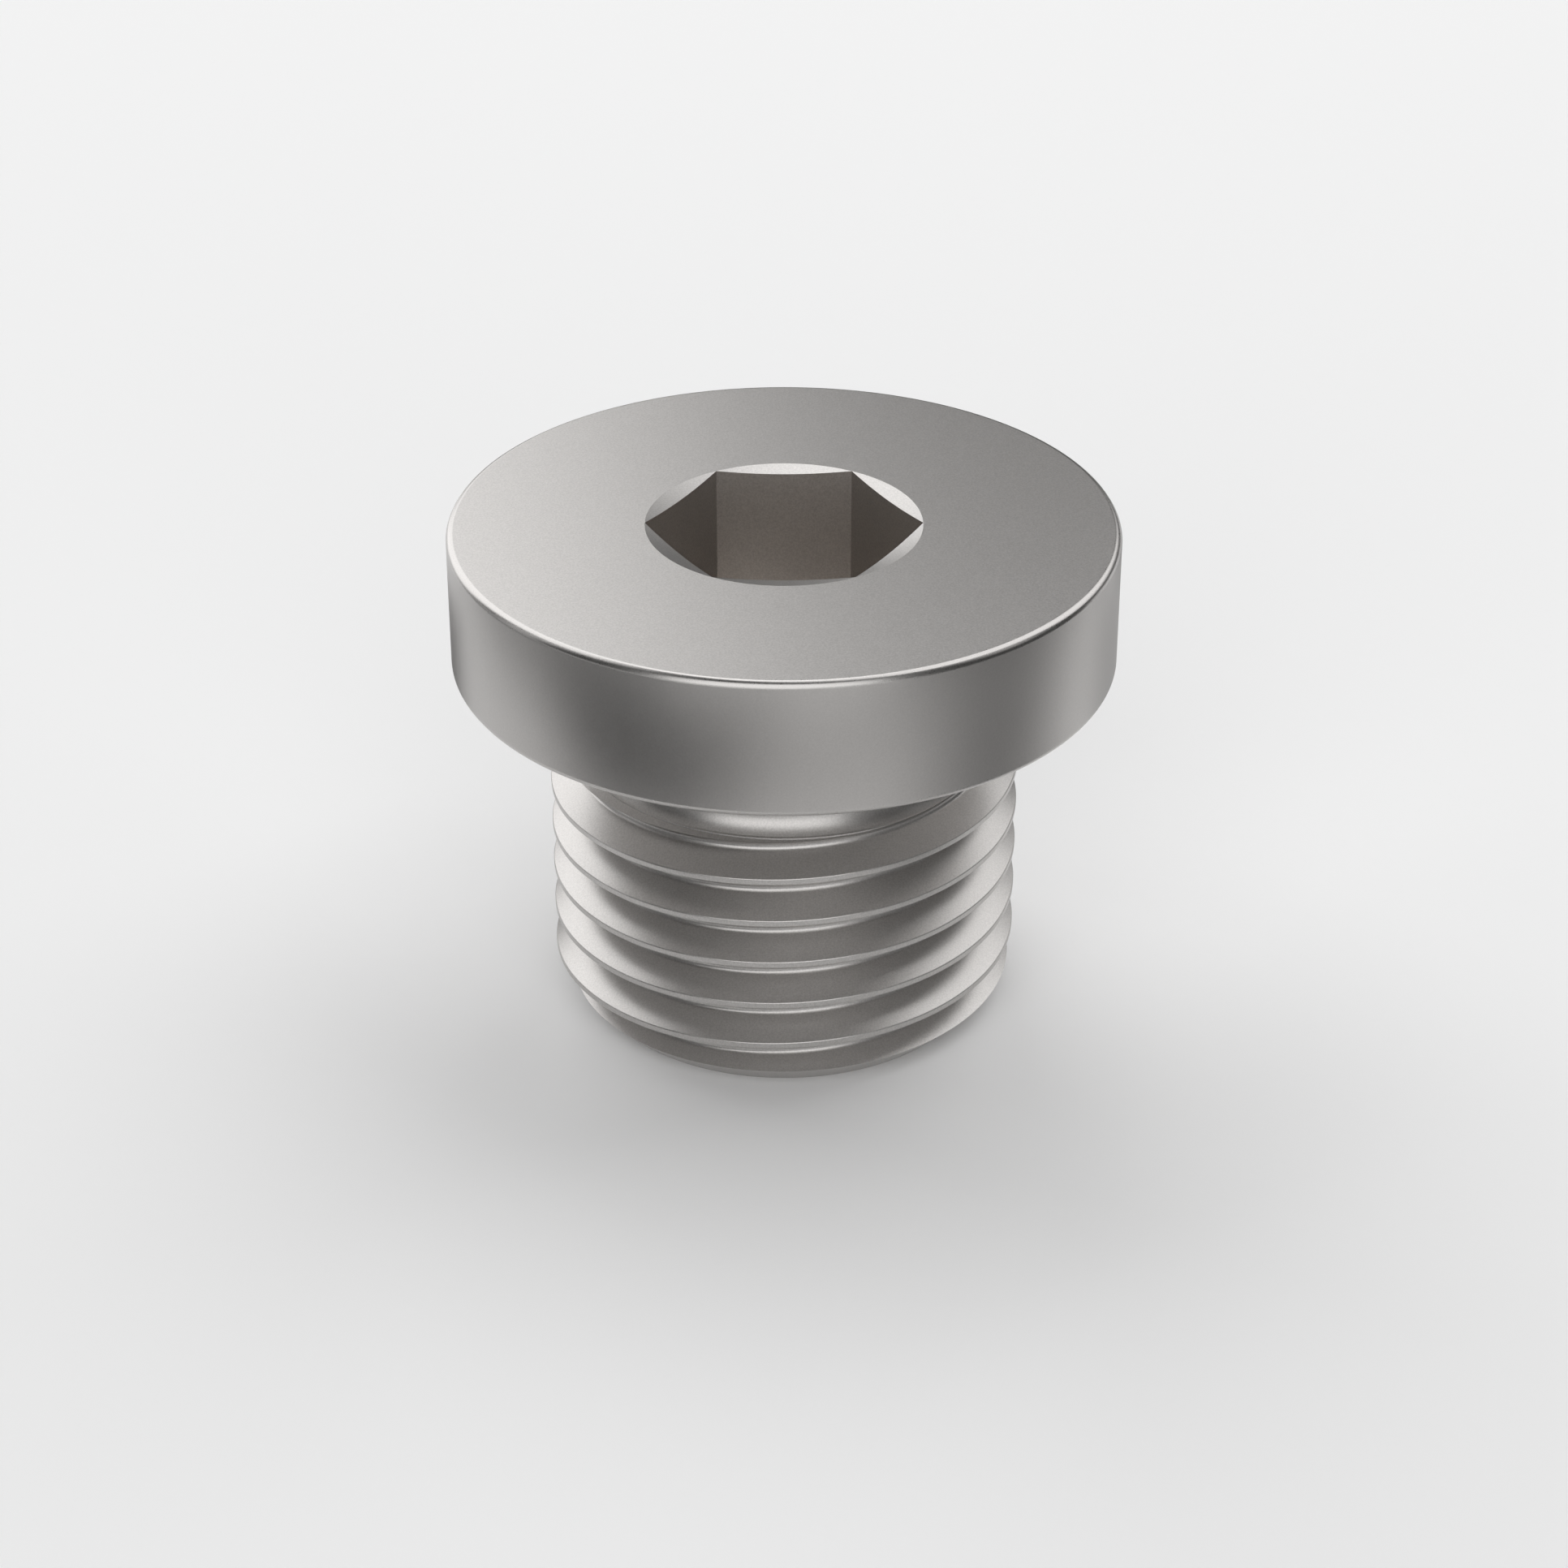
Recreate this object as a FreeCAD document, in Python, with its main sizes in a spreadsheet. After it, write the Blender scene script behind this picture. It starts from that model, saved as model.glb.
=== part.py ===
import FreeCAD, Part
import math
import os
import Sketcher

# Hexagon socket screw plug: a collar with an internal hexagon, an undercut neck and a
# cylindrical fine thread with a chamfered end, turned and threaded in one piece.
# Millimetres and degrees. The plug stands on its thread end: the origin is the middle of the
# end face, +Z is the plug's axis and points out of the socket, and two corners of the
# hexagon lie on the X axis.

# Driving sizes
SIZES = {
    "total_length": (11.0, "end face to top face"),
    "head_diameter": (14.0, "collar, outside"),
    "head_height": (3.0, "collar, seal face to top face"),
    "head_top_round": (0.15, "round at the collar's top edge"),
    "head_bottom_round": (0.15, "round at the collar's lower edge"),
    "thread_diameter": (10.0, "thread, over the crests"),
    "thread_pitch": (1.0, "thread, crest to crest"),
    "crest_width": (0.125, "flat on a crest, along the axis"),
    "flank_angle": (30.0, "flank to a plane square to the axis"),
    "root_width": (0.1667, "flat in the thread's root, along the axis"),
    "first_crest_height": (0.568, "first crest above the end face, on the +X side"),
    "cutter_overhang": (0.05, "reach of the thread's cutting profile outside the crests"),
    "end_chamfer": (0.75, "chamfer at the thread's end, at 45 degrees"),
    "neck_clearance": (0.1866, "undercut below the thread's root"),
    "neck_width": (2.0, "undercut, seal face to the foot of its step"),
    "neck_round": (0.7, "round between the undercut and its step"),
    "neck_top_chamfer": (0.3, "chamfer between the undercut and the seal face, at 45 degrees"),
    "step_rise": (0.25, "small step at the undercut's lower end, above the undercut"),
    "step_height": (0.03, "height of that step"),
    "step_land": (0.035, "radial width of the slope above that step"),
    "shoulder_angle": (30.0, "thread's upper shoulder to the seal face"),
    "socket_across_flats": (5.0, "internal hexagon, flat to flat"),
    "socket_depth": (5.0, "internal hexagon, below the top face"),
    "countersink_angle": (10.7, "countersink round the hexagon, to the top face"),
    "pilot_allowance": (0.1, "hexagon's flats over the pilot hole's diameter"),
    "pilot_point_angle": (118.0, "pilot hole's conical bottom, side to side"),
}

# The groove's section starts half a pitch and one whole turn below the first crest, so that
# its helix starts clear of the end face.
PITCHES_BELOW_CREST = 1.5
HEX_SIDES = 6
FULL_TURN = 360

# Sizes that follow from the driving ones, as the sheet's expressions
THREAD_DEPTH = "(Sizes.thread_pitch - Sizes.crest_width - Sizes.root_width) / 2 / tan(Sizes.flank_angle)"
GROOVE_START = f"({PITCHES_BELOW_CREST} * Sizes.thread_pitch - Sizes.first_crest_height)"
SOCKET_CORNER = "Sizes.socket_across_flats / sqrt(3)"


def size(name):
    """Give one driving size as a number, for a sketch's first shape."""
    return SIZES[name][0]


def slope(name):
    """Give the tangent of one driving angle."""
    return math.tan(math.radians(size(name)))


def thread_depth():
    """Give the thread's depth, crest to root."""
    flanks = size("thread_pitch") - size("crest_width") - size("root_width")
    return flanks / 2 / slope("flank_angle")


def socket_corner():
    """Give the radius of the hexagon's corners."""
    return size("socket_across_flats") / math.sqrt(3)


def fill_sheet(document):
    """Write each driving size and its meaning into the sheet, under the size's own name."""
    sheet = document.addObject("Spreadsheet::Sheet", "Sizes")
    for row, (name, (value, meaning)) in enumerate(SIZES.items(), start=1):
        sheet.set(f"A{row}", meaning)
        sheet.set(f"B{row}", str(value))
        sheet.setAlias(f"B{row}", name)
    document.recompute()


def new_sketch(body, name, role):
    """Start a sketch on the body's own origin plane that has this role."""
    plane = next(plane for plane in body.Origin.OriginFeatures if plane.Role == role)
    sketch = body.newObject("Sketcher::SketchObject", name)
    sketch.AttachmentSupport = [(plane, "")]
    sketch.MapMode = "FlatFace"
    return sketch


# A sketch's own numbers for its origin, its axes and the places on a line or arc
ORIGIN = (-1, 1)
X_AXIS, Y_AXIS = -1, -2
START, END, CENTRE = 1, 2, 3


class Outline:
    """A closed outline in a sketch, drawn side by side and tied to the sheet."""

    def __init__(self, sketch, corners):
        """Take the corners in order: name of the side that starts there, its place, and the
        centre if that side is an arc, with True where the arc runs clockwise."""
        self.sketch = sketch
        self.sides = {}
        names = list(corners)
        for number, name in enumerate(names):
            after = names[(number + 1) % len(names)]
            self.draw(name, corners[name], corners[after][0])

    def draw(self, name, corner, end):
        """Draw one side and note which of its ends comes first along the outline."""
        start = corner[0]
        if len(corner) == 1:
            index = self.sketch.addGeometry(
                Part.LineSegment(FreeCAD.Vector(*start, 0), FreeCAD.Vector(*end, 0)), False
            )
            self.sides[name] = (index, START, END)
            return
        centre, clockwise = corner[1:]
        first, last = (end, start) if clockwise else (start, end)
        angles = [math.atan2(point[1] - centre[1], point[0] - centre[0]) for point in (first, last)]
        circle = Part.Circle(
            FreeCAD.Vector(*centre, 0), FreeCAD.Vector(0, 0, 1), math.dist(start, centre)
        )
        index = self.sketch.addGeometry(Part.ArcOfCircle(circle, *angles), False)
        self.sides[name] = (index, END, START) if clockwise else (index, START, END)

    def line(self, name):
        """Give the side's number in the sketch."""
        return self.sides[name][0]

    def first(self, name):
        """Give the side's first end along the outline."""
        index, start, _ = self.sides[name]
        return index, start

    def last(self, name):
        """Give the side's last end along the outline."""
        index, _, end = self.sides[name]
        return index, end

    def tie(self, kind, *references):
        """Add a geometric condition."""
        return self.sketch.addConstraint(Sketcher.Constraint(kind, *references))

    def join(self, smooth=()):
        """Join the sides end to end, tangent where the pair is named as smooth."""
        names = list(self.sides)
        for number, name in enumerate(names):
            after = names[(number + 1) % len(names)]
            kind = "Tangent" if (name, after) in smooth else "Coincident"
            self.tie(kind, *self.last(name), *self.first(after))

    def level(self, *names):
        """Make sides parallel to the sketch's first axis."""
        for name in names:
            self.tie("Horizontal", self.line(name))

    def upright(self, *names):
        """Make sides parallel to the sketch's second axis."""
        for name in names:
            self.tie("Vertical", self.line(name))

    def bind(self, kind, references, expression):
        """Add a dimension whose value follows the sheet."""
        value = self.sketch.evalExpression(expression)
        if kind != "Angle":
            value = float(value)
        index = self.sketch.addConstraint(Sketcher.Constraint(kind, *references, value))
        self.sketch.setExpression(f"Constraints[{index}]", expression)


def draw_section(body):
    """Draw the half section that the whole plug is turned to, without thread and socket."""
    sketch = new_sketch(body, "turned_section", "XZ_Plane")
    crest = size("thread_diameter") / 2
    neck = crest - thread_depth() - size("neck_clearance")
    step = neck + size("step_rise")
    rim = size("head_diameter") / 2
    top = size("total_length")
    seal = top - size("head_height")
    foot = seal - size("neck_width")
    land = foot + size("step_height") + size("step_land") * slope("shoulder_angle")
    chamfer = size("end_chamfer")
    shoulder = foot - (crest - step) * slope("shoulder_angle")
    neck_round = size("neck_round")
    upper_chamfer = size("neck_top_chamfer")
    low_round = size("head_bottom_round")
    high_round = size("head_top_round")
    rise = size("step_rise") - size("step_land")
    round_top = land + math.sqrt(neck_round**2 - (neck_round - rise) ** 2)
    outline = Outline(sketch, {
        "end_face": [(0, 0)],
        "end_chamfer": [(crest - chamfer, 0)],
        "crest": [(crest, chamfer)],
        "shoulder": [(crest, shoulder)],
        "step": [(step, foot)],
        "land": [(step, foot + size("step_height"))],
        "neck_round": [(step - size("step_land"), land), (neck + neck_round, round_top), True],
        "neck": [(neck, round_top)],
        "neck_top": [(neck, seal - upper_chamfer)],
        "seal_face": [(neck + upper_chamfer, seal)],
        "low_round": [(rim - low_round, seal), (rim - low_round, seal + low_round), False],
        "rim": [(rim, seal + low_round)],
        "high_round": [(rim, top - high_round), (rim - high_round, top - high_round), False],
        "top_face": [(rim - high_round, top)],
        "axis": [(0, top)],
    })
    outline.join(smooth=(
        ("neck_round", "neck"), ("seal_face", "low_round"), ("low_round", "rim"),
        ("rim", "high_round"), ("high_round", "top_face"),
    ))
    outline.level("end_face", "seal_face", "top_face")
    outline.upright("crest", "step", "neck", "rim", "axis")
    outline.tie("Coincident", *outline.first("end_face"), *ORIGIN)
    outline.tie("Parallel", outline.line("shoulder"), outline.line("land"))

    first, last = outline.first, outline.last
    outline.bind("DistanceY", (*ORIGIN, *last("top_face")), "Sizes.total_length")
    outline.bind("DistanceY", (*first("seal_face"), *first("top_face")), "Sizes.head_height")
    outline.bind("DistanceX", (*ORIGIN, *first("rim")), "Sizes.head_diameter / 2")
    outline.bind("Radius", [outline.line("low_round")], "Sizes.head_bottom_round")
    outline.bind("Radius", [outline.line("high_round")], "Sizes.head_top_round")
    outline.bind("DistanceX", (*ORIGIN, *first("crest")), "Sizes.thread_diameter / 2")
    outline.bind("DistanceX", (*first("end_chamfer"), *last("end_chamfer")), "Sizes.end_chamfer")
    outline.bind("DistanceY", (*first("end_chamfer"), *last("end_chamfer")), "Sizes.end_chamfer")
    outline.bind("Angle", [outline.line("shoulder")], "180 deg - Sizes.shoulder_angle * 1 deg")
    outline.bind("DistanceX", (*first("neck"), *first("step")), "Sizes.step_rise")
    outline.bind("DistanceY", (*first("step"), *last("step")), "Sizes.step_height")
    outline.bind("DistanceX", (*last("land"), *first("land")), "Sizes.step_land")
    outline.bind("DistanceY", (*first("step"), *first("seal_face")), "Sizes.neck_width")
    outline.bind("DistanceX", (*first("neck"), *first("crest")), f"{THREAD_DEPTH} + Sizes.neck_clearance")
    outline.bind("Radius", [outline.line("neck_round")], "Sizes.neck_round")
    outline.bind("DistanceX", (*first("neck_top"), *last("neck_top")), "Sizes.neck_top_chamfer")
    outline.bind("DistanceY", (*first("neck_top"), *last("neck_top")), "Sizes.neck_top_chamfer")
    return sketch


def draw_thread_groove(body):
    """Draw the section of the thread's groove, its flanks run on a little outside."""
    sketch = new_sketch(body, "thread_groove", "XZ_Plane")
    crest = size("thread_diameter") / 2
    root = crest - thread_depth()
    outside = crest + size("cutter_overhang")
    middle = size("first_crest_height") - PITCHES_BELOW_CREST * size("thread_pitch")
    half_root = size("root_width") / 2
    half_outside = half_root + (outside - root) * slope("flank_angle")
    outline = Outline(sketch, {
        "lower_flank": [(outside, middle - half_outside)],
        "root": [(root, middle - half_root)],
        "upper_flank": [(root, middle + half_root)],
        "outside": [(outside, middle + half_outside)],
    })
    outline.join()
    outline.upright("root", "outside")

    first, last = outline.first, outline.last
    outline.bind("Angle", [outline.line("lower_flank")], "180 deg - Sizes.flank_angle * 1 deg")
    outline.bind("Angle", [outline.line("upper_flank")], "Sizes.flank_angle * 1 deg")
    outline.bind("DistanceX", (*ORIGIN, *first("root")), f"Sizes.thread_diameter / 2 - {THREAD_DEPTH}")
    outline.bind("DistanceX", (*first("root"), *first("outside")), f"{THREAD_DEPTH} + Sizes.cutter_overhang")
    outline.bind("DistanceY", (*first("root"), *last("root")), "Sizes.root_width")
    outline.bind("DistanceY", (*last("root"), *ORIGIN), f"{GROOVE_START} - Sizes.root_width / 2")
    return sketch


def draw_hexagon(body):
    """Draw the socket's hexagon in the top face's plane, two of its corners on the X axis."""
    sketch = new_sketch(body, "socket_hexagon", "XY_Plane")
    sketch.setExpression("AttachmentOffset.Base.z", "Sizes.total_length")
    radius = socket_corner()
    turns = [math.tau * number / HEX_SIDES for number in range(HEX_SIDES)]
    outline = Outline(sketch, {
        f"flat_{number}": [(radius * math.cos(turn), radius * math.sin(turn))]
        for number, turn in enumerate(turns)
    })
    outline.join()
    circle = sketch.addGeometry(
        Part.Circle(FreeCAD.Vector(0, 0, 0), FreeCAD.Vector(0, 0, 1), radius), True
    )
    outline.tie("Coincident", circle, CENTRE, *ORIGIN)
    outline.bind("Radius", [circle], SOCKET_CORNER)
    for name in outline.sides:
        outline.tie("PointOnObject", *outline.first(name), circle)
    for name in list(outline.sides)[1:]:
        outline.tie("Equal", outline.line("flat_0"), outline.line(name))
    outline.tie("PointOnObject", *outline.first("flat_0"), X_AXIS)
    return sketch


def draw_countersink(body):
    """Draw the shallow cone that breaks the hexagon's mouth out to its corners."""
    sketch = new_sketch(body, "countersink_section", "XZ_Plane")
    mouth = socket_corner()
    top = size("total_length")
    outline = Outline(sketch, {
        "cone": [(0, top - mouth * slope("countersink_angle"))],
        "mouth": [(mouth, top)],
        "axis": [(0, top)],
    })
    outline.join()
    outline.level("mouth")
    outline.upright("axis")
    outline.tie("PointOnObject", *outline.first("axis"), Y_AXIS)
    outline.bind("DistanceX", (*outline.last("mouth"), *outline.first("mouth")), SOCKET_CORNER)
    outline.bind("DistanceY", (*ORIGIN, *outline.first("axis")), "Sizes.total_length")
    outline.bind("Angle", [outline.line("cone")], "Sizes.countersink_angle * 1 deg")
    return sketch


def draw_pilot_hole(body):
    """Draw half of the pilot hole, which ends in a drill's cone below the hexagon."""
    sketch = new_sketch(body, "pilot_section", "XZ_Plane")
    side = (size("socket_across_flats") - size("pilot_allowance")) / 2
    top = size("total_length")
    floor = top - size("socket_depth")
    point = floor - side / math.tan(math.radians(size("pilot_point_angle") / 2))
    outline = Outline(sketch, {
        "point": [(0, point)],
        "side": [(side, floor)],
        "mouth": [(side, top)],
        "axis": [(0, top)],
    })
    outline.join()
    outline.level("mouth")
    outline.upright("side", "axis")
    outline.tie("PointOnObject", *outline.first("axis"), Y_AXIS)
    outline.bind(
        "DistanceX", (*outline.last("mouth"), *outline.first("mouth")),
        "(Sizes.socket_across_flats - Sizes.pilot_allowance) / 2",
    )
    outline.bind("DistanceY", (*ORIGIN, *outline.first("axis")), "Sizes.total_length")
    outline.bind("DistanceY", (*outline.first("side"), *outline.last("side")), "Sizes.socket_depth")
    outline.bind("Angle", [outline.line("point")], "90 deg - Sizes.pilot_point_angle / 2 * 1 deg")
    return sketch


def turn(body, kind, name, sketch):
    """Revolve a section fully round the plug's axis, as material or as a cut."""
    feature = body.newObject(f"PartDesign::{kind}", name)
    feature.Profile = sketch
    feature.ReferenceAxis = (sketch, ["V_Axis"])
    feature.Angle = FULL_TURN
    return feature


def cut_thread(body, sketch):
    """Cut the groove up a right-hand helix that ends in the middle of the undercut."""
    feature = body.newObject("PartDesign::SubtractiveHelix", "thread")
    feature.Profile = sketch
    feature.ReferenceAxis = (sketch, ["V_Axis"])
    feature.Mode = "pitch-height-angle"
    feature.setExpression("Pitch", "Sizes.thread_pitch")
    feature.setExpression(
        "Height", f"Sizes.total_length - Sizes.head_height - Sizes.neck_width / 2 + {GROOVE_START}"
    )
    feature.LeftHanded = False
    return feature


def cut_hexagon(body, sketch):
    """Cut the hexagon down from the top face."""
    feature = body.newObject("PartDesign::Pocket", "socket")
    feature.Profile = sketch
    feature.setExpression("Length", "Sizes.socket_depth")
    return feature


def checked_volume(document, feature, before):
    """Recompute and check that the feature removed material, then give the volume left."""
    document.recompute()
    volume = feature.Shape.Volume
    if not feature.Shape.isValid() or volume >= before:
        raise RuntimeError(f"{feature.Label} cuts nothing")
    return volume


def build_plug(document):
    """Turn the plug's outside, cut its thread, then sink its socket."""
    body = document.addObject("PartDesign::Body", "plug_body")
    body.Label = "plug_body"
    blank = turn(body, "Revolution", "turned_blank", draw_section(body))
    document.recompute()
    volume = blank.Shape.Volume
    thread = cut_thread(body, draw_thread_groove(body))
    volume = checked_volume(document, thread, volume)
    hexagon = cut_hexagon(body, draw_hexagon(body))
    volume = checked_volume(document, hexagon, volume)
    pilot = turn(body, "Groove", "pilot_hole", draw_pilot_hole(body))
    volume = checked_volume(document, pilot, volume)
    countersink = turn(body, "Groove", "countersink", draw_countersink(body))
    checked_volume(document, countersink, volume)
    body.Placement = FreeCAD.Placement()
    return body


def check_objects(document):
    """Stop if any object of the document failed."""
    for item in document.Objects:
        if {"Invalid", "Error"} & set(item.State):
            raise RuntimeError(f"{item.Label} failed: {item.State}")


def write_part(body):
    """Write one sub-part under its own label."""
    if body.Shape.isNull() or not body.Shape.isValid() or len(body.Shape.Solids) != 1:
        raise RuntimeError(f"{body.Label} is not one valid solid")
    body.Shape.exportStep(os.path.join("parts", f"{body.Label}.step"))


document = FreeCAD.newDocument("hex_socket_plug")
fill_sheet(document)
plug = build_plug(document)
document.recompute()
check_objects(document)
os.makedirs("parts", exist_ok=True)
write_part(plug)
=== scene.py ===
import math

import bpy
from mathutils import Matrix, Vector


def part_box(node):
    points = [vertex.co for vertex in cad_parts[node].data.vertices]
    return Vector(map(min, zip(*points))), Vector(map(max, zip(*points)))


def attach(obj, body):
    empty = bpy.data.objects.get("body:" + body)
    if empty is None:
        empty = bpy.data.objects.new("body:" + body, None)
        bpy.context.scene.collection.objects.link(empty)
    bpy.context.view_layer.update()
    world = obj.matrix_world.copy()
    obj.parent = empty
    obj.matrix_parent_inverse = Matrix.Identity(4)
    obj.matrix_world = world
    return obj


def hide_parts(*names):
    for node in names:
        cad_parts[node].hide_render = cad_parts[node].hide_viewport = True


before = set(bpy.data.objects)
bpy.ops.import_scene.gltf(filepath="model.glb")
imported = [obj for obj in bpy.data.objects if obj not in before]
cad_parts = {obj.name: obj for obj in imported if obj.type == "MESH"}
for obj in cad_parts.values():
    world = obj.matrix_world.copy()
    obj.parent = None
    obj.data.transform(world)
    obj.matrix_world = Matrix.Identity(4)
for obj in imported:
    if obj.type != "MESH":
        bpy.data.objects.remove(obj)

# Hex socket plug: a collar with an internal hexagon, an undercut neck and a fine thread with a
# chamfered end. The plug stands on its thread end, with its axis on Z and two corners of the
# hexagon on X. All lengths are metres.

bl_info = {
    "name": "Hex Socket Plug",
    "version": (1, 0, 0),
    "blender": (4, 5, 0),
    "location": "View3D > Sidebar > Screw Plug",
    "description": "Models a hexagon socket screw plug over its packed solid, with its stage",
    "category": "Object",
}

MM = 0.001
NODE = "plug_body"
LOW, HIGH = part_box(NODE)
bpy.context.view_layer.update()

# Flats round the plug, and the steps of its small rounds
SIDES = 240
ROUND_STEPS = 12
CREST_STEPS = 8
ROOT_STEPS = 16
HEX_SIDES = 6
# Points closer than this count as one place
NEAR = 0.0001 * MM
# An edge that turns by more degrees than this stays sharp
SHARP_ANGLE = 9.0
# How much of a face's normal lies along the axis: over LEVEL on a flat end, under STEEP on the
# hexagon's walls and under UPRIGHT on the collar's side
LEVEL, STEEP, UPRIGHT = 0.99, 0.5, 0.01
# The grain's finest detail, and the parts of its range where the steel is darkest and lightest
GRAIN_DETAIL = 2.0
GRAIN_DARK, GRAIN_LIGHT = 0.25, 0.75
# The floor, and how far the camera sees
FLOOR_SIDES = 96
FLOOR_RADIUS = 3.0
SIGHT = 10.0


def length(name, description, default):
    """Give one length of the sidebar."""
    return bpy.props.FloatProperty(
        name=name, description=description, default=default, min=0.0, unit="LENGTH",
        subtype="DISTANCE", precision=5,
    )


def angle(name, description, degrees):
    """Give one angle of the sidebar."""
    return bpy.props.FloatProperty(
        name=name, description=description, default=math.radians(degrees), unit="ROTATION",
        subtype="ANGLE",
    )


def factor(name, description, default):
    """Give one plain number of the sidebar."""
    return bpy.props.FloatProperty(name=name, description=description, default=default)


def colour(name, description, default):
    """Give one colour of the sidebar."""
    return bpy.props.FloatVectorProperty(
        name=name, description=description, default=default, subtype="COLOR", size=3,
        min=0.0, max=1.0,
    )


class PlugSizes(bpy.types.PropertyGroup):
    """Sizes of the plug"""

    total_length: length("Total Length", "End face to top face", HIGH[2] - LOW[2])
    head_radius: length("Collar Radius", "Axis to the collar's outside", HIGH[0])
    head_height: length("Collar Height", "Seal face to top face", 3.0 * MM)
    head_round: length("Collar Edge Round", "Round at both of the collar's edges", 0.15 * MM)
    thread_radius: length("Thread Radius", "Axis to the crests", 5.0 * MM)
    thread_pitch: length("Thread Pitch", "Crest to crest", 1.0 * MM)
    crest_width: length("Crest Width", "Flat on a crest, along the axis", 0.125 * MM)
    crest_round: length("Crest Edge Round", "Round at a crest's edges", 0.03 * MM)
    flank_angle: angle("Flank Angle", "Flank to a plane square to the axis", 30.0)
    root_radius: length("Root Radius", "Axis to the bottom of the thread's groove", 4.367 * MM)
    root_round: length("Root Round", "Round in the bottom of the thread's groove", 0.125 * MM)
    first_crest: length("First Crest", "End face to the first crest, on the X side", 0.568 * MM)
    groove_start: factor("Groove Start", "First crest to the groove's lower end, in pitches", 1.5)
    groove_reach: length("Groove Reach", "How far the groove's cutter stands out", 0.3 * MM)
    crest_skin: length("Crest Skin", "Crests to the groove's edge rounds", 0.0005 * MM)
    end_chamfer: length("End Chamfer", "Chamfer at the thread's end", 0.75 * MM)
    neck_radius: length("Neck Radius", "Axis to the undercut", 4.2 * MM)
    neck_width: length("Neck Width", "Seal face to the undercut's lower step", 2.0 * MM)
    neck_round: length("Neck Round", "Round at the undercut's lower end", 0.7 * MM)
    neck_top: length("Neck Top", "Round between the undercut and the seal face", 0.3 * MM)
    step_rise: length("Step Rise", "Undercut to the step at its lower end", 0.25 * MM)
    step_height: length("Step Height", "Height of that step", 0.03 * MM)
    step_land: length("Step Land", "Width of the slope above that step", 0.035 * MM)
    shoulder_angle: angle("Shoulder Angle", "Thread's upper shoulder to the seal face", 30.0)
    socket_flats: length("Socket Across Flats", "Internal hexagon, flat to flat", 5.0 * MM)
    socket_depth: length("Socket Depth", "Internal hexagon, below the top face", 5.0 * MM)
    countersink_angle: angle("Countersink Angle", "Countersink to the top face", 10.7)
    pilot_allowance: length("Pilot Allowance", "Flats over the pilot hole's diameter", 0.1 * MM)
    pilot_point: angle("Pilot Point", "Pilot hole's conical bottom, side to side", 118.0)


class PlugLooks(bpy.types.PropertyGroup):
    """Steel of the plug, and its stage"""

    steel_colour: colour("Steel Colour", "Satin steel", (0.520, 0.505, 0.492))
    # The hexagon's walls and the hole below them get a lighter tone than the same steel: painted
    # light in the socket.
    socket_lit_colour: colour("Socket Colour", "Walls of the hexagon", (0.65, 0.617, 0.588))
    floor_colour: colour("Floor Colour", "Paper that the plug stands on", (0.94, 0.94, 0.94))
    floor_roughness: factor("Floor Roughness", "Dullness of the paper", 0.9)
    room_colour: colour("Room Colour", "Plain light from all round", (0.03, 0.03, 0.03))
    roughness: factor("Roughness", "Satin of the steel", 0.34)
    roughness_spread: factor("Roughness Spread", "How far the grain changes the satin", 0.05)
    socket_roughness: factor("Socket Roughness", "Satin of the hexagon's walls", 0.38)
    edge_roughness: factor("Edge Roughness", "Satin of the collar's rounded edges", 0.29)
    grain_size: length("Grain Size", "Size of the steel's grain", 0.035 * MM)
    grain_contrast: factor("Grain Contrast", "How far the grain changes the colour", 0.13)
    side_contrast: factor("Collar Grain Contrast", "The same on the collar's side", 0.05)
    grain_depth: length("Grain Depth", "Depth of the steel's grain", 0.0005 * MM)
    camera_distance: length("Camera Distance", "Camera to the point it looks at", 80.93 * MM)
    camera_target: length("Camera Target", "Height that the camera looks at", 4.746 * MM)
    camera_elevation: angle("Camera Elevation", "Camera above the horizon", 29.985)
    camera_lens: factor("Camera Lens", "Focal length in millimetres", 86.18)


def deselect():
    """Leave edit mode and select nothing."""
    if bpy.context.object and bpy.context.object.mode != "OBJECT":
        bpy.ops.object.mode_set(mode="OBJECT")
    bpy.ops.object.select_all(action="DESELECT")


def named(name):
    """Name the new object and its mesh."""
    piece = bpy.context.object
    piece.name = name
    piece.data.name = name
    return piece


def arc(centre, radius, start, end, steps):
    """Give points round part of a circle in the half section, its ends included."""
    turns = [start + (end - start) * step / steps for step in range(steps + 1)]
    return [
        (centre[0] + radius * math.cos(turn), centre[1] + radius * math.sin(turn))
        for turn in turns
    ]


def turned_outline(sizes):
    """Give the outside's half section, from the end face up to the top face."""
    seal = sizes.total_length - sizes.head_height
    foot = seal - sizes.neck_width
    step = sizes.neck_radius + sizes.step_rise
    slope = math.tan(sizes.shoulder_angle)
    land = foot + sizes.step_height + sizes.step_land * slope
    shoulder = foot - (sizes.thread_radius - step) * slope
    inner = sizes.neck_radius + sizes.neck_round
    edge = step - sizes.step_land
    start = math.acos((inner - edge) / sizes.neck_round)
    centre_height = land + sizes.neck_round * math.sin(start)
    low_round = arc(
        (inner, centre_height), sizes.neck_round, math.pi + start, math.pi, ROUND_STEPS
    )
    high_round = arc(
        (sizes.neck_radius + sizes.neck_top, seal - sizes.neck_top), sizes.neck_top,
        math.pi, math.pi / 2, ROUND_STEPS,
    )
    return [
        (sizes.thread_radius - sizes.end_chamfer, 0.0),
        (sizes.thread_radius, sizes.end_chamfer),
        (sizes.thread_radius, shoulder),
        (step, foot),
        (step, foot + sizes.step_height),
        *low_round,
        *high_round,
        (sizes.head_radius, seal),
        (sizes.head_radius, sizes.total_length),
    ]


def socket_corner(sizes):
    """Give the distance from the axis to the hexagon's corners."""
    return sizes.socket_flats / math.sqrt(3)


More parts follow.
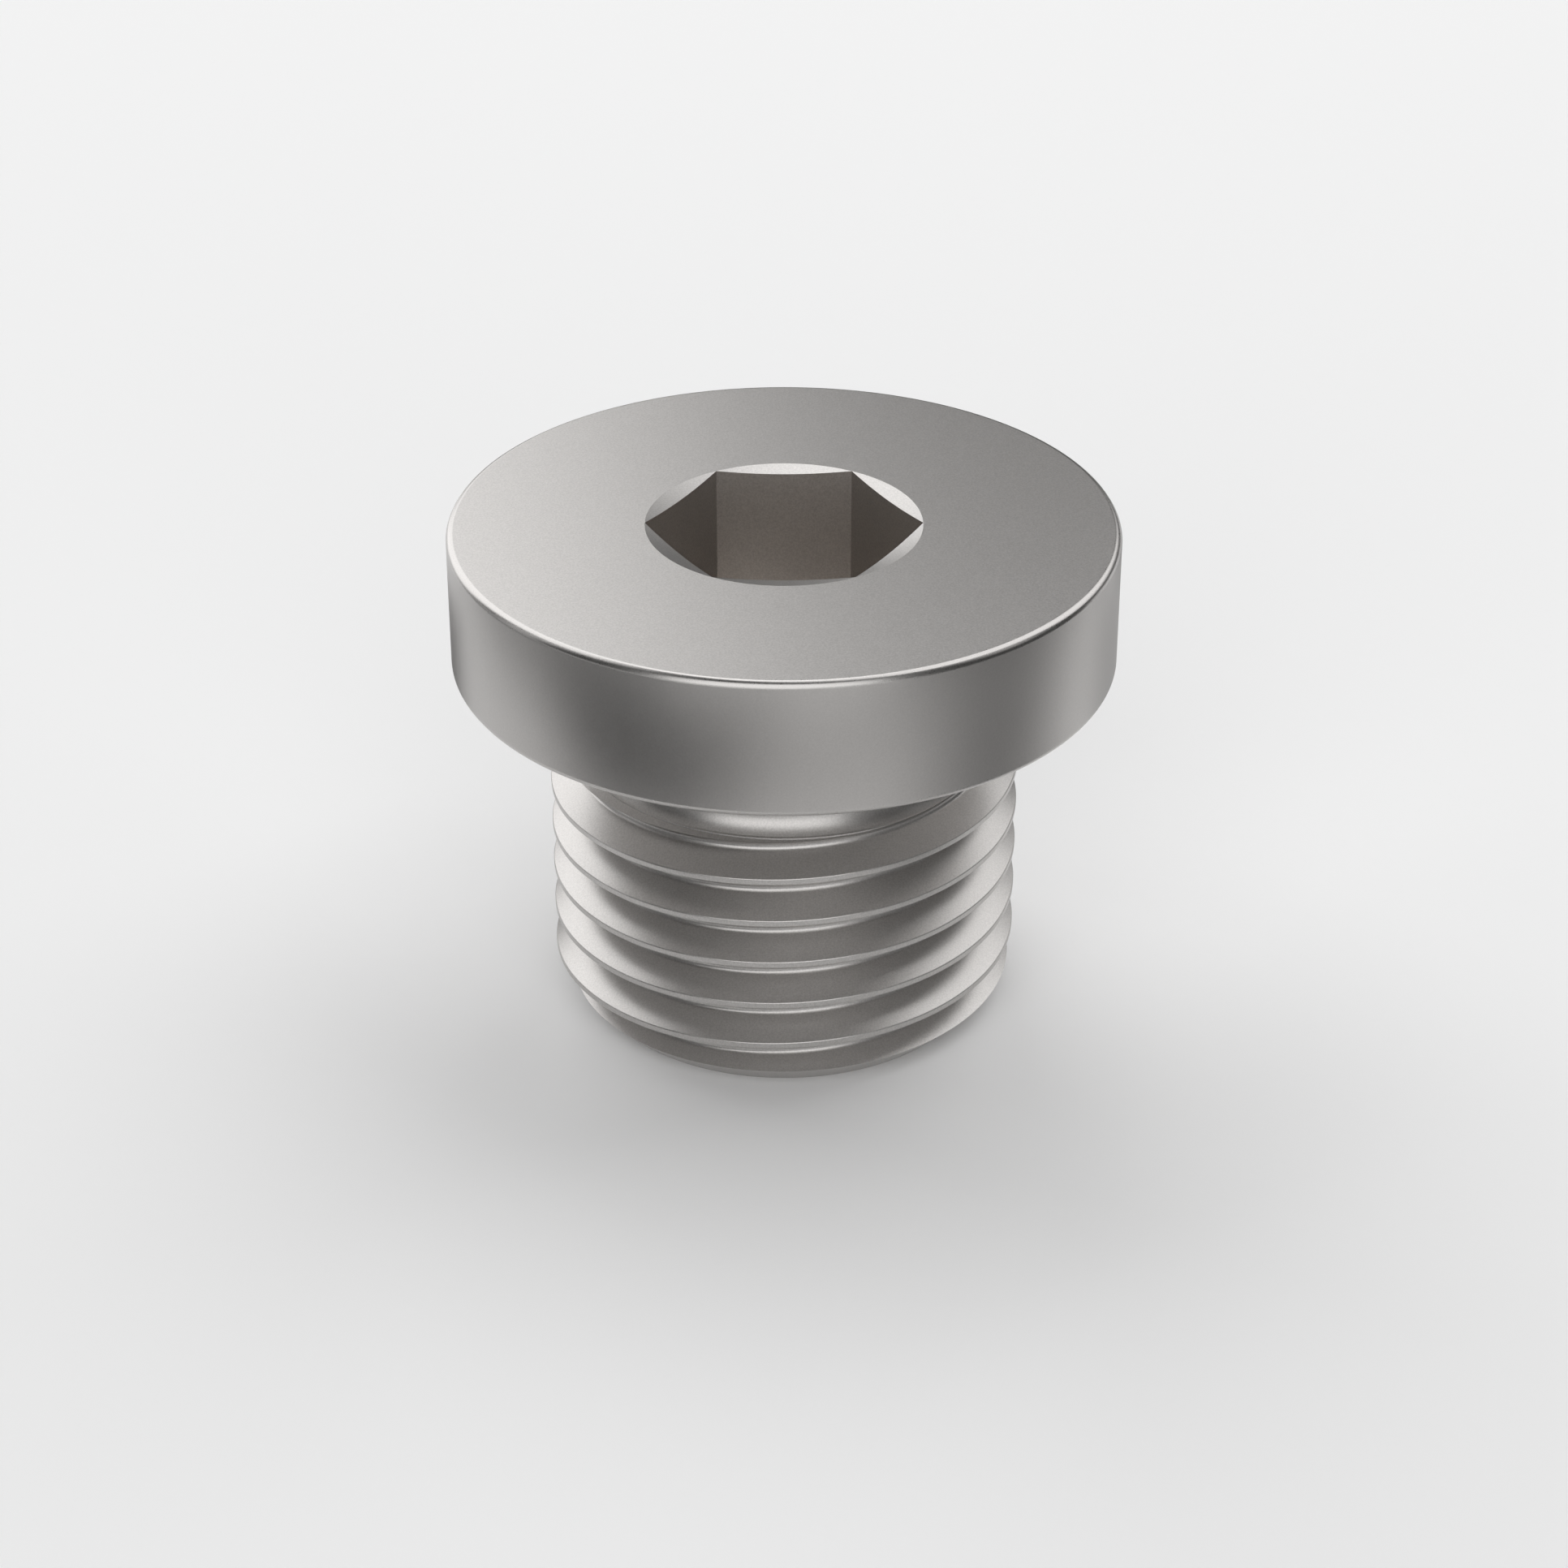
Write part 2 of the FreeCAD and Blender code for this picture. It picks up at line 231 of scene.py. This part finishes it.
def socket_outline(sizes):
    """Give the countersink's and the pilot hole's half section, from the top face down."""
    top = sizes.total_length
    corner = socket_corner(sizes)
    side = (sizes.socket_flats - sizes.pilot_allowance) / 2
    floor = top - sizes.socket_depth
    point = floor - side / math.tan(sizes.pilot_point / 2)
    return [
        (corner, top),
        (side, top - (corner - side) * math.tan(sizes.countersink_angle)),
        (side, floor),
        (side / SIDES, point + (floor - point) / SIDES),
    ]


def resize_rings(ratio):
    """Scale what is selected square to the axis."""
    bpy.ops.transform.resize(value=(ratio, ratio, 1.0), center_override=(0.0, 0.0, 0.0))


def raise_rings(outline):
    """Extrude the selected cap through each corner of a half section."""
    for (radius, height), (next_radius, next_height) in zip(outline, outline[1:]):
        bpy.ops.mesh.extrude_region_move(
            TRANSFORM_OT_translate={"value": (0.0, 0.0, next_height - height)}
        )
        resize_rings(next_radius / radius)


def select_cap(piece, height):
    """Select only the flat face at this height."""
    bpy.ops.mesh.select_all(action="DESELECT")
    bpy.ops.object.mode_set(mode="OBJECT")
    for face in piece.data.polygons:
        face.select = abs(face.center.z - height) < NEAR and abs(face.normal.z) > LEVEL
    bpy.ops.object.mode_set(mode="EDIT")


def select_rings(piece, places):
    """Select the edges that run round the plug at these radii and heights."""
    bpy.ops.mesh.select_all(action="DESELECT")
    bpy.ops.object.mode_set(mode="OBJECT")
    mesh = piece.data
    for edge in mesh.edges:
        ends = [mesh.vertices[number].co for number in edge.vertices]
        edge.select = any(
            all(abs(math.hypot(end.x, end.y) - radius) < NEAR and abs(end.z - height) < NEAR
                for end in ends)
            for radius, height in places
        )
    bpy.ops.object.mode_set(mode="EDIT")


class PLUG_OT_turn_blank(bpy.types.Operator):
    """Turn the plug's outside and its pilot hole from a bar"""

    bl_idname = "plug.turn_blank"
    bl_label = "Turn Blank"

    def execute(self, context):
        sizes = context.scene.plug_sizes
        outside = turned_outline(sizes)
        end_radius = outside[0][0]
        first_radius, first_height = outside[1]
        deselect()
        bpy.ops.mesh.primitive_cylinder_add(
            vertices=SIDES, radius=end_radius, depth=first_height,
            location=(0.0, 0.0, first_height / 2),
        )
        blank = named("plug")
        bpy.ops.object.transform_apply(location=True, rotation=True, scale=True)
        bpy.ops.object.mode_set(mode="EDIT")
        bpy.ops.mesh.select_mode(type="FACE")
        select_cap(blank, first_height)
        resize_rings(first_radius / end_radius)
        raise_rings(outside[1:])
        raise_rings([outside[-1], *socket_outline(sizes)])
        bpy.ops.mesh.merge(type="CENTER")

        bpy.ops.mesh.select_mode(type="EDGE")
        seal = sizes.total_length - sizes.head_height
        select_rings(blank, [
            (sizes.head_radius, seal), (sizes.head_radius, sizes.total_length),
        ])
        bpy.ops.mesh.bevel(offset=sizes.head_round, segments=ROUND_STEPS, clamp_overlap=False)
        bpy.ops.mesh.select_all(action="SELECT")
        bpy.ops.mesh.normals_make_consistent(inside=False)
        bpy.ops.object.mode_set(mode="OBJECT")
        return {"FINISHED"}


def groove_outline(sizes):
    """Give the groove's closed section in the XZ plane, far enough below the first crest for
    its helix to start clear of the end face. It reaches out past the crests."""
    middle = sizes.first_crest - sizes.groove_start * sizes.thread_pitch
    lean = math.pi / 2 - sizes.flank_angle
    root_centre = sizes.root_radius + sizes.root_round
    crest_inset = sizes.crest_round * math.tan(lean / 2)
    edge = (sizes.thread_pitch - sizes.crest_width) / 2 + crest_inset
    crest = sizes.thread_radius - sizes.crest_skin
    outside = sizes.thread_radius + sizes.groove_reach
    upper = arc(
        (crest - sizes.crest_round, edge), sizes.crest_round, 0.0, -lean, CREST_STEPS
    )
    root = arc(
        (root_centre, 0.0), sizes.root_round, math.pi - lean, math.pi + lean, ROOT_STEPS
    )
    lower = [(radius, -height) for radius, height in reversed(upper)]
    section = [(outside, edge), *upper, *root, *lower, (outside, -edge)]
    return [(radius, 0.0, middle + height) for radius, height in section]


def draw_outline(name, points):
    """Draw a closed outline, one corner after the other."""
    deselect()
    bpy.ops.mesh.primitive_plane_add(size=MM, location=points[0])
    piece = named(name)
    bpy.ops.object.transform_apply(location=True, rotation=True, scale=True)
    bpy.ops.object.mode_set(mode="EDIT")
    bpy.ops.mesh.select_mode(type="VERT")
    bpy.ops.mesh.select_all(action="SELECT")
    bpy.ops.mesh.merge(type="CENTER")
    for start, end in zip(points, points[1:] + points[:1]):
        step = [after - before for before, after in zip(start, end)]
        bpy.ops.mesh.extrude_region_move(TRANSFORM_OT_translate={"value": step})
    bpy.ops.mesh.select_all(action="SELECT")
    bpy.ops.mesh.remove_doubles(threshold=NEAR)
    bpy.ops.object.mode_set(mode="OBJECT")
    return piece


def apply_modifier(piece, kind, **settings):
    """Give the piece one modifier and apply it."""
    modifier = piece.modifiers.new(kind.lower(), kind)
    for name, value in settings.items():
        setattr(modifier, name, value)
    deselect()
    bpy.context.view_layer.objects.active = piece
    piece.select_set(True)
    bpy.ops.object.modifier_apply(modifier=modifier.name)


def cut_away(piece, cutter):
    """Take the cutter out of the piece and delete the cutter."""
    apply_modifier(piece, "BOOLEAN", operation="DIFFERENCE", solver="MANIFOLD", object=cutter)
    bpy.data.meshes.remove(cutter.data)


class PLUG_OT_cut_thread(bpy.types.Operator):
    """Cut the right-hand thread into the blank"""

    bl_idname = "plug.cut_thread"
    bl_label = "Cut Thread"

    def execute(self, context):
        sizes = context.scene.plug_sizes
        groove = draw_outline("groove", groove_outline(sizes))
        rise = sizes.total_length - sizes.head_height - sizes.first_crest
        apply_modifier(
            groove, "SCREW", axis="Z", angle=math.tau, screw_offset=sizes.thread_pitch,
            iterations=1 + math.floor(rise / sizes.thread_pitch), steps=SIDES, render_steps=SIDES,
            use_merge_vertices=True,
        )
        bpy.ops.object.mode_set(mode="EDIT")
        bpy.ops.mesh.select_mode(type="EDGE")
        bpy.ops.mesh.select_all(action="DESELECT")
        bpy.ops.mesh.select_non_manifold()
        bpy.ops.mesh.fill_holes(sides=0)
        bpy.ops.mesh.select_all(action="SELECT")
        bpy.ops.mesh.normals_make_consistent(inside=False)
        bpy.ops.object.mode_set(mode="OBJECT")
        cut_away(bpy.data.objects["plug"], groove)
        return {"FINISHED"}


class PLUG_OT_broach_socket(bpy.types.Operator):
    """Broach the hexagon into the pilot hole"""

    bl_idname = "plug.broach_socket"
    bl_label = "Broach Socket"

    def execute(self, context):
        sizes = context.scene.plug_sizes
        deselect()
        reach = sizes.socket_depth + sizes.head_height
        bpy.ops.mesh.primitive_cylinder_add(
            vertices=HEX_SIDES, radius=socket_corner(sizes), depth=reach,
            location=(0.0, 0.0, sizes.total_length - sizes.socket_depth + reach / 2),
            rotation=(0.0, 0.0, math.pi / HEX_SIDES),
        )
        broach = named("broach")
        bpy.ops.object.transform_apply(location=True, rotation=True, scale=True)
        cut_away(bpy.data.objects["plug"], broach)
        return {"FINISHED"}


def finish_edges(piece):
    """Shade the rounds smooth and the true edges sharp, with flat faces kept flat."""
    deselect()
    bpy.context.view_layer.objects.active = piece
    piece.select_set(True)
    bpy.ops.object.shade_smooth_by_angle(angle=math.radians(SHARP_ANGLE))
    apply_modifier(piece, "WEIGHTED_NORMAL", mode="FACE_AREA", keep_sharp=True)


def steel(name, looks, tone, roughness, contrast):
    """Give satin steel: a fine grain in its colour, gloss and height, on Object coordinates."""
    material = bpy.data.materials.new(name)
    material.use_nodes = True
    nodes, links = material.node_tree.nodes, material.node_tree.links
    shader = nodes["Principled BSDF"]
    shader.inputs["Metallic"].default_value = 1.0
    place = nodes.new("ShaderNodeTexCoord")
    grain = nodes.new("ShaderNodeTexNoise")
    grain.inputs["Scale"].default_value = 1.0 / looks.grain_size
    grain.inputs["Detail"].default_value = GRAIN_DETAIL
    ramp = nodes.new("ShaderNodeValToRGB")
    dark, light = ramp.color_ramp.elements
    dark.position, light.position = GRAIN_DARK, GRAIN_LIGHT
    dark.color = (*[part * (1.0 - contrast) for part in tone], 1.0)
    light.color = (*[part * (1.0 + contrast) for part in tone], 1.0)
    gloss = nodes.new("ShaderNodeMapRange")
    gloss.inputs["To Min"].default_value = roughness - looks.roughness_spread
    gloss.inputs["To Max"].default_value = roughness + looks.roughness_spread
    bump = nodes.new("ShaderNodeBump")
    bump.inputs["Strength"].default_value = 1.0
    bump.inputs["Distance"].default_value = looks.grain_depth
    links.new(place.outputs["Object"], grain.inputs["Vector"])
    links.new(grain.outputs["Fac"], ramp.inputs["Fac"])
    links.new(ramp.outputs["Color"], shader.inputs["Base Color"])
    links.new(grain.outputs["Fac"], gloss.inputs["Value"])
    links.new(gloss.outputs["Result"], shader.inputs["Roughness"])
    links.new(grain.outputs["Fac"], bump.inputs["Height"])
    links.new(bump.outputs["Normal"], shader.inputs["Normal"])
    return material


def finish_of(face, sizes):
    """Name a face's steel: broached for the hexagon's walls and what lies below them, whose
    lighter tone is painted light in the socket, turned for the collar's side, edge for its
    rounded edges and satin for the rest."""
    x, y, z = face.center
    radius = math.hypot(x, y)
    lean = abs(face.normal.z)
    in_hole = radius < socket_corner(sizes) and z < sizes.total_length
    if in_hole and (lean < STEEP or z < sizes.total_length - sizes.head_height):
        return "broached_lit_steel"
    if radius < sizes.head_radius - sizes.head_round:
        return "satin_steel"
    return "turned_steel" if lean < UPRIGHT else "edge_steel"


class PLUG_OT_finish_plug(bpy.types.Operator):
    """Give the plug its smooth shading and its steel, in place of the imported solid"""

    bl_idname = "plug.finish_plug"
    bl_label = "Finish Plug"

    def execute(self, context):
        plug = bpy.data.objects["plug"]
        finish_edges(plug)
        sizes, looks = context.scene.plug_sizes, context.scene.plug_looks
        # The hexagon's walls take the lighter tone, which is painted light in the socket.
        tone, lit_wall_tone = looks.steel_colour, looks.socket_lit_colour
        finishes = {
            "satin_steel": (tone, looks.roughness, looks.grain_contrast),
            "broached_lit_steel": (lit_wall_tone, looks.socket_roughness, looks.grain_contrast),
            "turned_steel": (tone, looks.roughness, looks.side_contrast),
            "edge_steel": (tone, looks.edge_roughness, looks.side_contrast),
        }
        plug.data.materials.clear()
        for name, finish in finishes.items():
            plug.data.materials.append(steel(name, looks, *finish))
        order = list(finishes)
        for face in plug.data.polygons:
            face.material_index = order.index(finish_of(face, sizes))
        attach(plug, "root")
        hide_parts(NODE)
        return {"FINISHED"}


def soft_lamp(name, azimuth, distance, height, tilt, size, level):
    """Hang a soft lamp beside the plug, tilted down by some degrees. Azimuth 0 is the camera's
    side and 90 is +X."""
    turn = math.radians(azimuth)
    bpy.ops.object.light_add(
        type="AREA", location=(math.sin(turn) * distance, -math.cos(turn) * distance, height),
        rotation=(math.radians(90.0 - tilt), 0.0, turn),
    )
    lamp = bpy.context.object
    lamp.name = name
    lamp.data.shape = "RECTANGLE"
    lamp.data.size, lamp.data.size_y = size
    lamp.data.energy = level * math.pi * size[0] * size[1]
    lamp.visible_camera = False


def side_card(name, azimuth, distance, size, level, fade):
    """Stand a card beside the plug, which only its reflections show. It fades out towards its
    sides and its top over these parts of its width and height."""
    turn = math.radians(azimuth)
    width, height = size
    bpy.ops.mesh.primitive_plane_add(
        size=1.0, location=(math.sin(turn) * distance, -math.cos(turn) * distance, height / 2),
        rotation=(math.pi / 2, 0.0, turn),
    )
    card = named(name)
    card.scale = (width, height, 1.0)
    bpy.ops.object.transform_apply(location=True, rotation=True, scale=True)
    material = bpy.data.materials.new(name)
    material.use_nodes = True
    nodes, links = material.node_tree.nodes, material.node_tree.links
    shader = nodes["Principled BSDF"]
    shader.inputs["Base Color"].default_value = (0.0, 0.0, 0.0, 1.0)
    shader.inputs["Specular IOR Level"].default_value = 0.0
    shader.inputs["Emission Color"].default_value = (1.0, 1.0, 1.0, 1.0)
    shader.inputs["Emission Strength"].default_value = level
    place = nodes.new("ShaderNodeTexCoord")
    parts = nodes.new("ShaderNodeSeparateXYZ")
    side = nodes.new("ShaderNodeMath")
    side.operation = "PINGPONG"
    side.inputs[1].default_value = 0.5
    cover = nodes.new("ShaderNodeMath")
    cover.operation = "MULTIPLY"
    # Across and up the card, UV runs from 0 to 1, so the middle is at 0.5. The cover is full in
    # the middle and falls to nothing at either side and at the top.
    links.new(place.outputs["UV"], parts.inputs["Vector"])
    links.new(parts.outputs["X"], side.inputs[0])
    for number, (source, near, far) in enumerate((
        (side.outputs["Value"], 0.0, fade[0]), (parts.outputs["Y"], 1.0, 1.0 - fade[1]),
    )):
        edge = nodes.new("ShaderNodeMapRange")
        edge.interpolation_type = "SMOOTHSTEP"
        edge.inputs["From Min"].default_value = near
        edge.inputs["From Max"].default_value = far
        links.new(source, edge.inputs["Value"])
        links.new(edge.outputs["Result"], cover.inputs[number])
    links.new(cover.outputs["Value"], shader.inputs["Alpha"])
    card.data.materials.append(material)
    card.visible_camera = False
    card.visible_diffuse = False
    card.visible_shadow = False


def lay_floor(looks):
    """Lay a wide round floor of dull white paper."""
    bpy.ops.mesh.primitive_circle_add(
        vertices=FLOOR_SIDES, radius=FLOOR_RADIUS, fill_type="NGON"
    )
    floor = named("floor")
    paper = bpy.data.materials.new("white_paper")
    paper.use_nodes = True
    shader = paper.node_tree.nodes["Principled BSDF"]
    shader.inputs["Base Color"].default_value = (*looks.floor_colour, 1.0)
    shader.inputs["Roughness"].default_value = looks.floor_roughness
    shader.inputs["Specular IOR Level"].default_value = 0.0
    floor.data.materials.append(paper)


def light_room(looks):
    """Give the world its plain light."""
    world = bpy.data.worlds.new("studio")
    world.use_nodes = True
    background = world.node_tree.nodes["Background"]
    background.inputs["Color"].default_value = (*looks.room_colour, 1.0)
    background.inputs["Strength"].default_value = 1.0
    return world


def place_camera(looks):
    """Place the camera in front of the plug, looking down at its axis."""
    rise = looks.camera_elevation
    reach = looks.camera_distance
    bpy.ops.object.camera_add(
        location=(0.0, -reach * math.cos(rise), looks.camera_target + reach * math.sin(rise)),
        rotation=(math.pi / 2 - rise, 0.0, 0.0),
    )
    camera = bpy.context.object
    camera.data.lens = looks.camera_lens
    camera.data.clip_start = reach / 100
    camera.data.clip_end = SIGHT
    return camera


class PLUG_OT_set_stage(bpy.types.Operator):
    """Lay the floor, hang the lamps, stand the cards and place the camera"""

    bl_idname = "plug.set_stage"
    bl_label = "Set Stage"

    def execute(self, context):
        scene = context.scene
        looks = scene.plug_looks
        deselect()
        lay_floor(looks)
        scene.world = light_room(looks)

        # Two large lamps hang behind the plug, one in front and a narrow one on either side.
        soft_lamp("lamp_back_left", -145.0, 0.415, 0.295, 25.0, (0.54, 0.65), 1.68)
        soft_lamp("lamp_back_right", 135.0, 0.31, 0.39, 52.0, (0.50, 0.615), 1.45)
        soft_lamp("lamp_front", -4.0, 0.475, 0.42, 4.0, (0.69, 0.83), 1.50)
        soft_lamp("lamp_left", -94.0, 0.415, 0.275, 34.0, (0.14, 0.67), 0.70)
        soft_lamp("lamp_right", 82.0, 0.38, 0.32, 40.0, (0.17, 0.55), 0.50)

        # The cards give the steel its dark bands. A level of 0 is black.
        side_card("card_left", -76.0, 0.0235, (0.049, 0.014), 0.30, (0.20, 0.55))
        side_card("card_left_low", -38.0, 0.0167, (0.038, 0.008), 0.0, (0.44, 0.55))
        side_card("card_right", 72.0, 0.028, (0.052, 0.021), 0.05, (0.24, 0.33))
        side_card("card_right_low", 57.0, 0.0123, (0.018, 0.0107), 0.23, (0.50, 0.50))
        side_card("card_front", -2.0, 0.021, (0.061, 0.0046), 0.12, (0.07, 0.90))
        side_card("card_back", 168.0, 0.020, (0.032, 0.0075), 0.10, (0.15, 0.50))
        side_card("card_back_left", -131.0, 0.015, (0.011, 0.0048), 0.05, (0.40, 0.25))
        side_card("card_back_right", 141.0, 0.014, (0.022, 0.0077), 0.47, (0.20, 0.55))
        side_card("card_far", 180.0, 0.10, (0.11, 0.038), 0.0, (0.25, 0.35))

        scene.camera = place_camera(looks)
        scene.view_settings.view_transform = "Standard"
        return {"FINISHED"}


class PLUG_PT_panel(bpy.types.Panel):
    """Lists the plug's steps, sizes and colours"""

    bl_label = "Screw Plug"
    bl_idname = "PLUG_PT_panel"
    bl_space_type = "VIEW_3D"
    bl_region_type = "UI"
    bl_category = "Screw Plug"

    def draw(self, context):
        for step in STEPS:
            self.layout.operator(step.bl_idname)
        for group in (context.scene.plug_sizes, context.scene.plug_looks):
            for name in group.bl_rna.properties.keys():
                if name not in ("rna_type", "name"):
                    self.layout.prop(group, name)


STEPS = (
    PLUG_OT_turn_blank, PLUG_OT_cut_thread, PLUG_OT_broach_socket, PLUG_OT_finish_plug,
    PLUG_OT_set_stage,
)
CLASSES = (PlugSizes, PlugLooks, *STEPS, PLUG_PT_panel)


def register():
    """Register the classes and hang both groups on the scene."""
    for item in CLASSES:
        bpy.utils.register_class(item)
    bpy.types.Scene.plug_sizes = bpy.props.PointerProperty(type=PlugSizes)
    bpy.types.Scene.plug_looks = bpy.props.PointerProperty(type=PlugLooks)


def unregister():
    """Take both groups and the classes away again."""
    del bpy.types.Scene.plug_looks
    del bpy.types.Scene.plug_sizes
    for item in reversed(CLASSES):
        bpy.utils.unregister_class(item)


def main():
    """Make the plug and its stage."""
    register()
    bpy.ops.plug.turn_blank()
    bpy.ops.plug.cut_thread()
    bpy.ops.plug.broach_socket()
    bpy.ops.plug.finish_plug()
    bpy.ops.plug.set_stage()


if __name__ == "__main__":
    main()
